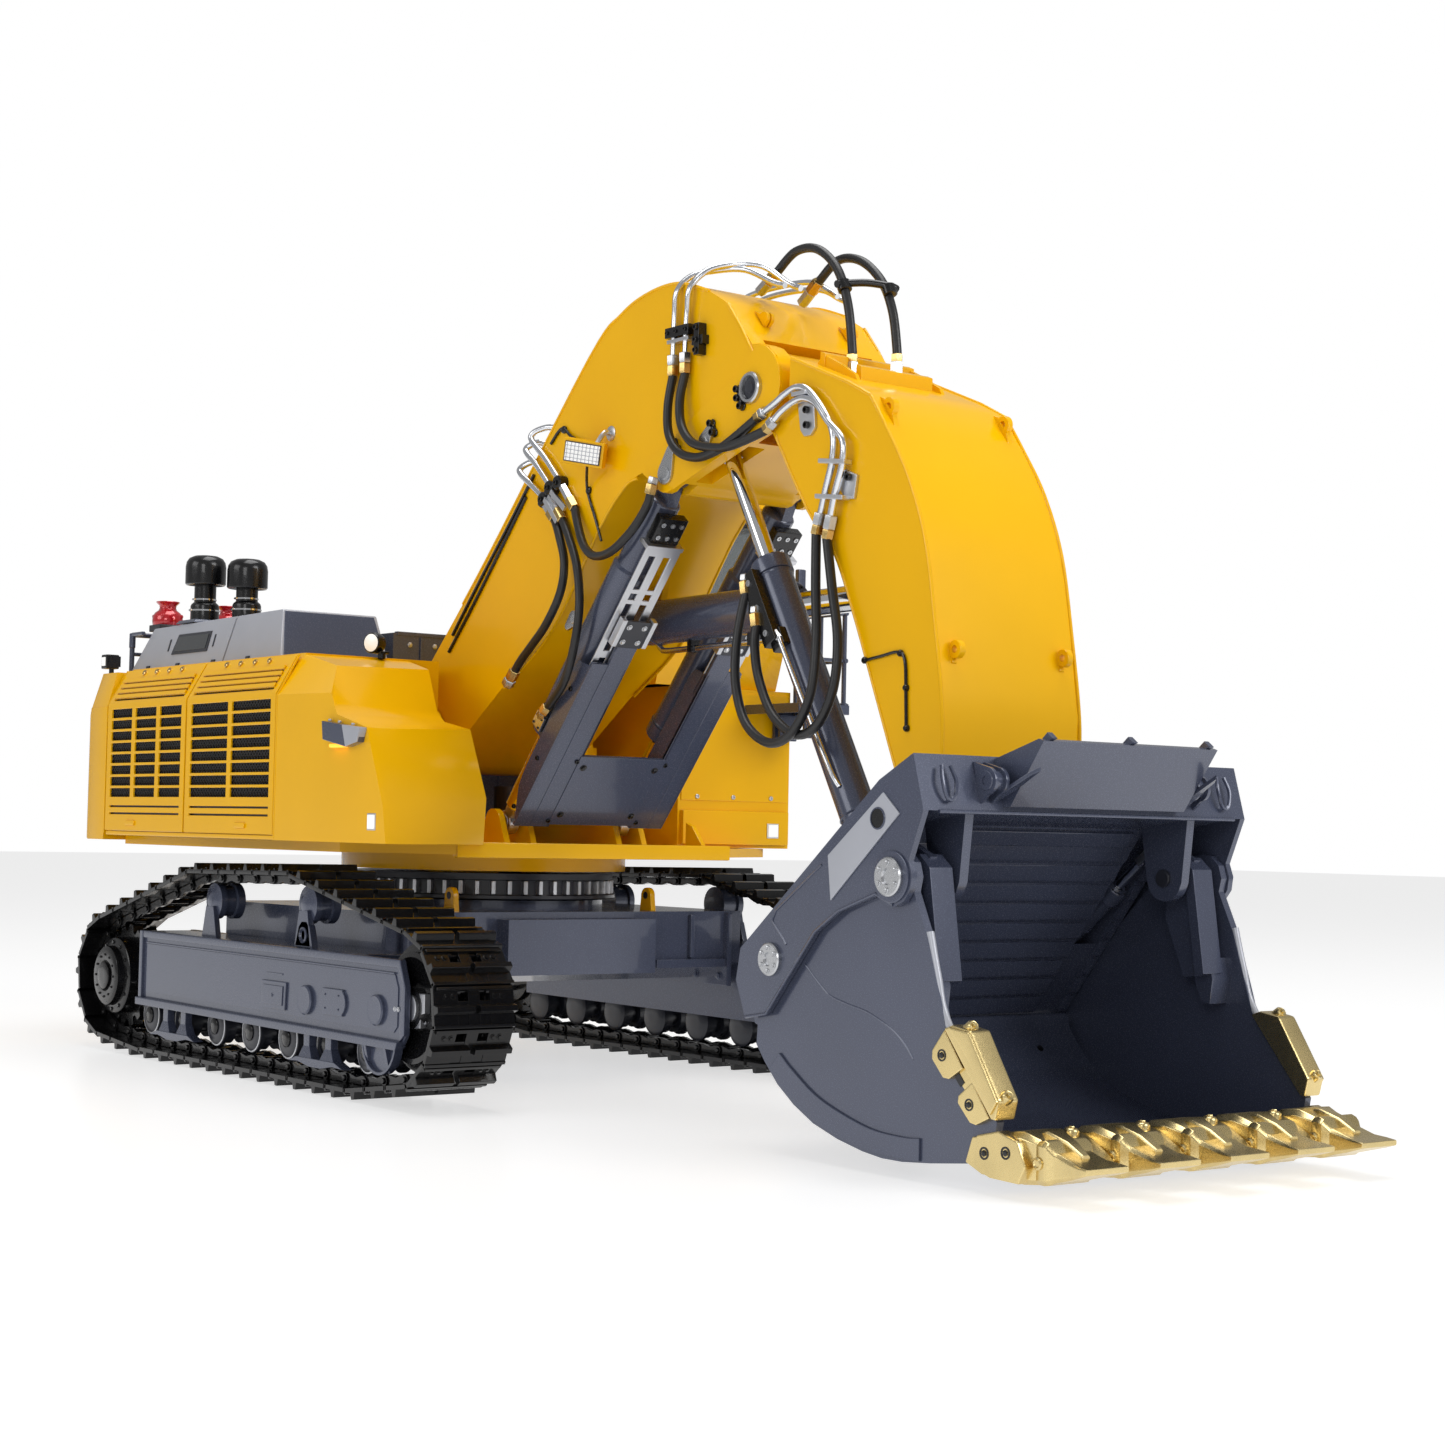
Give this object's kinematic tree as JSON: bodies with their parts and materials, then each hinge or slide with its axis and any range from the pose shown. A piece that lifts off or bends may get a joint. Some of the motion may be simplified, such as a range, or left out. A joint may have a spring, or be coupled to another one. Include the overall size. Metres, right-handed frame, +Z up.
{
  "type": "rc excavator",
  "caption": "Radio-controlled hydraulic face shovel on crawler tracks with a slewing upper body, boom, stick, clam bucket and opening side doors.",
  "frame": {"origin": "on the ground, under the middle of the model's bounding box", "axes": "+X towards the bucket, +Y to the machine's left, +Z up"},
  "size_m": [0.957, 0.337, 0.4539],
  "materials": {
    "yellow_paint": "glossy yellow enamel",
    "slate_paint": "satin dark blue-grey paint",
    "black_gloss": "glossy black",
    "chrome": "polished",
    "steel": "machined steel",
    "gold_teeth": "polished gold-coloured cast metal",
    "light_grey_paint": "satin light grey paint",
    "red_paint": "glossy red enamel",
    "glass": "tinted clear",
    "hose_rubber": "smooth black hose",
    "black_plastic": "matt black"
  },
  "bodies": {
    "undercarriage": {"carbody": "slate_paint", "slew_ring": "steel", "track_right": "black_gloss", "track_left": "black_gloss", "side_frame_right": "slate_paint", "side_frame_left": "slate_paint", "roller_bank_right": "slate_paint", "roller_bank_left": "slate_paint", "travel_motor_right": "black_plastic", "travel_motor_left": "black_plastic"},
    "sprocket_right": {"sprocket_right": "black_gloss"},
    "sprocket_left": {"sprocket_left": "black_gloss"},
    "idler_right": {"idler_right": "black_gloss"},
    "idler_left": {"idler_left": "black_gloss"},
    "upper": {"deck": "yellow_paint", "boom_foot_pin": "steel", "slew_motor": "black_plastic", "casing_right": "yellow_paint", "casing_left": "yellow_paint", "cab_shell": "yellow_paint", "cab_glass": "glass", "catwalk_left": "slate_paint", "counterweight": "yellow_paint", "engine_hood": "light_grey_paint", "air_cleaner_front": "black_gloss", "air_cleaner_rear": "black_gloss", "exhaust": "red_paint", "deck_wall": "slate_paint", "battery": "black_plastic", "electronics_box": "black_plastic", "hydraulic_pump_tank": "steel", "valve_block": "steel"},
    "door_rear": {"door_rear": "yellow_paint"},
    "door_front": {"door_front": "yellow_paint"},
    "boom": {"boom": "yellow_paint", "stick_pin": "steel", "hoses_top": "hose_rubber", "hoses_side": "hose_rubber"},
    "lift_barrels": {"lift_barrel_right": "slate_paint", "lift_barrel_left": "slate_paint"},
    "lift_rods": {"lift_rod_right": "chrome", "lift_rod_left": "chrome", "lift_rod_guard": "slate_paint"},
    "crowd_barrel": {"crowd_barrel": "slate_paint"},
    "crowd_rod": {"crowd_rod": "chrome"},
    "tilt_rods": {"tilt_rod_right": "chrome", "tilt_rod_left": "chrome"},
    "tilt_barrels": {"tilt_barrel_right": "slate_paint", "tilt_barrel_left": "slate_paint"},
    "stick": {"stick": "yellow_paint"},
    "stick_link": {"bucket_pin": "steel"},
    "bucket": {"bucket_back": "slate_paint"},
    "clam_barrels": {"clam_barrel_right": "slate_paint", "clam_barrel_left": "slate_paint"},
    "clam_rods": {"clam_rod_right": "chrome", "clam_rod_left": "chrome"},
    "clam": {"clam": "slate_paint", "tooth_bar": "gold_teeth", "side_cutter_right": "gold_teeth", "side_cutter_left": "gold_teeth"}
  },
  "joints": [
    {"name": "slew", "type": "hinge", "parent": "undercarriage", "child": "upper", "pos_m": [-0.1335, 0, 0.12], "axis": [0, 0, 1], "continuous": true},
    {"name": "sprocket_right_spin", "type": "hinge", "parent": "undercarriage", "child": "sprocket_right", "pos_m": [-0.3205, -0.1445, 0.047], "axis": [0, 1, 0], "continuous": true},
    {"name": "sprocket_left_spin", "type": "hinge", "parent": "undercarriage", "child": "sprocket_left", "pos_m": [-0.3205, 0.1445, 0.047], "axis": [0, 1, 0], "continuous": true},
    {"name": "idler_right_spin", "type": "hinge", "parent": "undercarriage", "child": "idler_right", "pos_m": [0.0515, -0.1445, 0.052], "axis": [0, 1, 0], "continuous": true},
    {"name": "idler_left_spin", "type": "hinge", "parent": "undercarriage", "child": "idler_left", "pos_m": [0.0515, 0.1445, 0.052], "axis": [0, 1, 0], "continuous": true},
    {"name": "door_rear_swing", "type": "hinge", "parent": "upper", "child": "door_rear", "pos_m": [-0.3325, -0.165, 0.18], "axis": [0, 0, -1], "range_deg": [0, 100]},
    {"name": "door_front_swing", "type": "hinge", "parent": "upper", "child": "door_front", "pos_m": [-0.097, -0.165, 0.18], "axis": [0, 0, 1], "range_deg": [0, 100]},
    {"name": "boom_lift", "type": "hinge", "parent": "upper", "child": "boom", "pos_m": [-0.1235, 0, 0.203], "axis": [0, -1, 0], "range_deg": [-15, 30]},
    {"name": "lift_barrel_swing", "type": "hinge", "parent": "boom", "child": "lift_barrels", "pos_m": [0.1165, 0, 0.339], "axis": [0, -1, 0], "range_deg": [-3, 3]},
    {"name": "lift_stroke", "type": "slide", "parent": "lift_barrels", "child": "lift_rods", "axis": [-0.6485, 0, -0.7612], "range_m": [-0.027, 0.052]},
    {"name": "crowd", "type": "hinge", "parent": "boom", "child": "stick", "pos_m": [0.1895, 0, 0.373], "axis": [0, -1, 0], "range_deg": [-20, 25], "deforming": ["hoses_top", "hoses_side"]},
    {"name": "crowd_barrel_swing", "type": "hinge", "parent": "boom", "child": "crowd_barrel", "pos_m": [0.0215, 0, 0.264], "axis": [0, -1, 0], "range_deg": [-9, 9]},
    {"name": "crowd_stroke", "type": "slide", "parent": "crowd_barrel", "child": "crowd_rod", "axis": [0.9999, 0, 0.0169], "range_m": [-0.041, 0.047]},
    {"name": "tilt_link", "type": "hinge", "parent": "stick", "child": "stick_link", "pos_m": [0.3155, 0, 0.152], "axis": [0, -1, 0], "range_deg": [-26, 21]},
    {"name": "bucket_curl", "type": "hinge", "parent": "stick_link", "child": "bucket", "pos_m": [0.3155, 0, 0.152], "axis": [0, -1, 0], "range_deg": [-35, 28]},
    {"name": "tilt_rod_swing", "type": "hinge", "parent": "boom", "child": "tilt_rods", "pos_m": [0.1505, 0, 0.353], "axis": [0, -1, 0], "range_deg": [-21, 26]},
    {"name": "tilt_stroke", "type": "slide", "parent": "tilt_rods", "child": "tilt_barrels", "axis": [0.4953, 0, -0.8687], "range_m": [-0.027, 0.027]},
    {"name": "clam_open", "type": "hinge", "parent": "bucket", "child": "clam", "pos_m": [0.366, 0, 0.129], "axis": [0, -1, 0], "range_deg": [0, 45]},
    {"name": "clam_barrel_swing", "type": "hinge", "parent": "bucket", "child": "clam_barrels", "pos_m": [0.2835, 0, 0.089], "axis": [0, -1, 0], "range_deg": [-8, 1]},
    {"name": "clam_stroke", "type": "slide", "parent": "clam_barrels", "child": "clam_rods", "axis": [0.774, 0, 0.6332], "range_m": [-0.016, 0.001]}
  ],
  "couplings": [
    {"joint": "idler_right_spin", "follows": "sprocket_right_spin", "ratio": 0.93},
    {"joint": "idler_left_spin", "follows": "sprocket_left_spin", "ratio": 0.93},
    {"joint": "lift_barrel_swing", "follows": "boom_lift", "ratio": 0.01},
    {"joint": "lift_stroke", "follows": "boom_lift", "m_per_rad": 0.0932},
    {"joint": "crowd_barrel_swing", "follows": "crowd", "ratio": 0.29},
    {"joint": "crowd_stroke", "follows": "crowd", "m_per_rad": 0.102},
    {"joint": "tilt_link", "follows": "crowd", "ratio": -1},
    {"joint": "tilt_rod_swing", "follows": "crowd", "ratio": 1},
    {"joint": "tilt_stroke", "follows": "bucket_curl", "m_per_rad": 0.042},
    {"joint": "clam_barrel_swing", "follows": "clam_open", "ratio": -0.12},
    {"joint": "clam_stroke", "follows": "clam_open", "m_per_rad": -0.0185}
  ]
}
